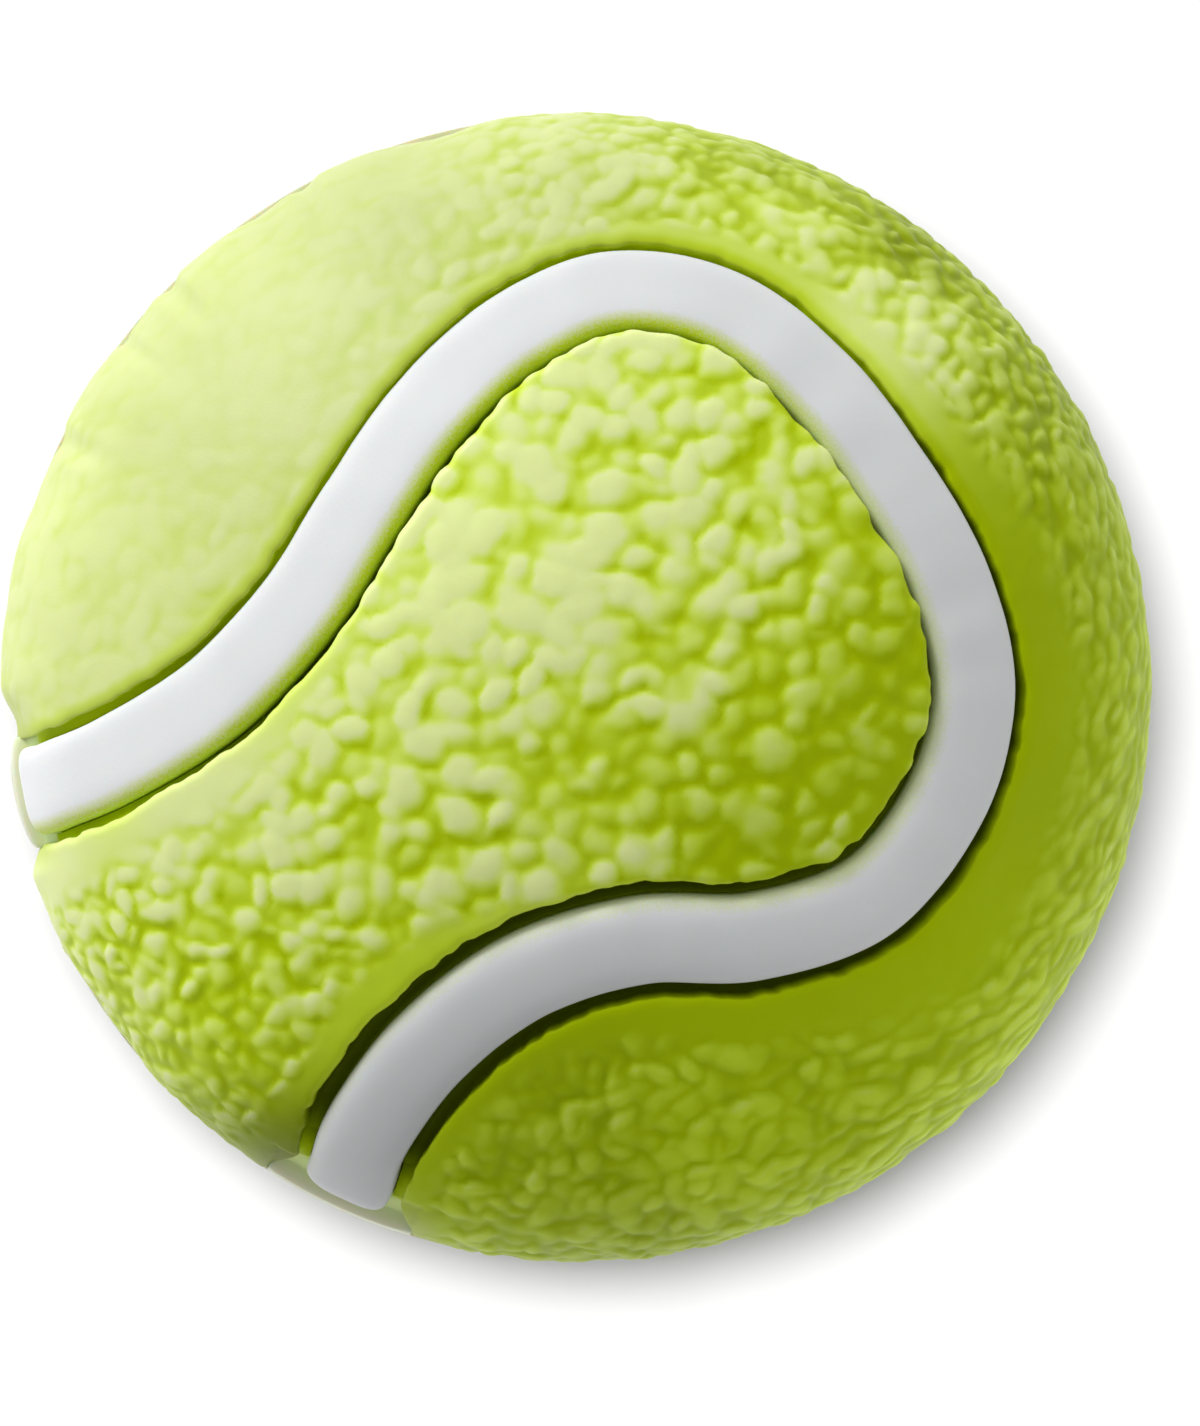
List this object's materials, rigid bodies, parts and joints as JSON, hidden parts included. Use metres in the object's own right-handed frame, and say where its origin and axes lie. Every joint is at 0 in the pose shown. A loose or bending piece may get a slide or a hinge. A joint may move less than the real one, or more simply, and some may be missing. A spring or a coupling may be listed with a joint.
{
  "type": "shoe charm",
  "caption": "Push-in shoe charm: half a tennis ball in soft moulded plastic, flat at the back, with a seam strip laid in a channel and a stem that ends in a round button.",
  "frame": {"origin": "middle of the flat back, in the plane that rests on the shoe", "axes": "+Z out of the ball's face, -Z along the stem, +Y up and +X to the right in the picture"},
  "size_m": [0.026, 0.026, 0.0152],
  "materials": {
    "cover_green": "matte soft plastic with a pebbled skin",
    "seam_white": "satin soft plastic",
    "backing_pale": "satin soft plastic, slightly see-through",
    "stem_pale": "satin moulded plastic"
  },
  "bodies": {
    "root": {"ball_cover": "cover_green", "seam_strip": "seam_white", "backing_disc": "backing_pale", "stem_button": "stem_pale"}
  },
  "joints": []
}
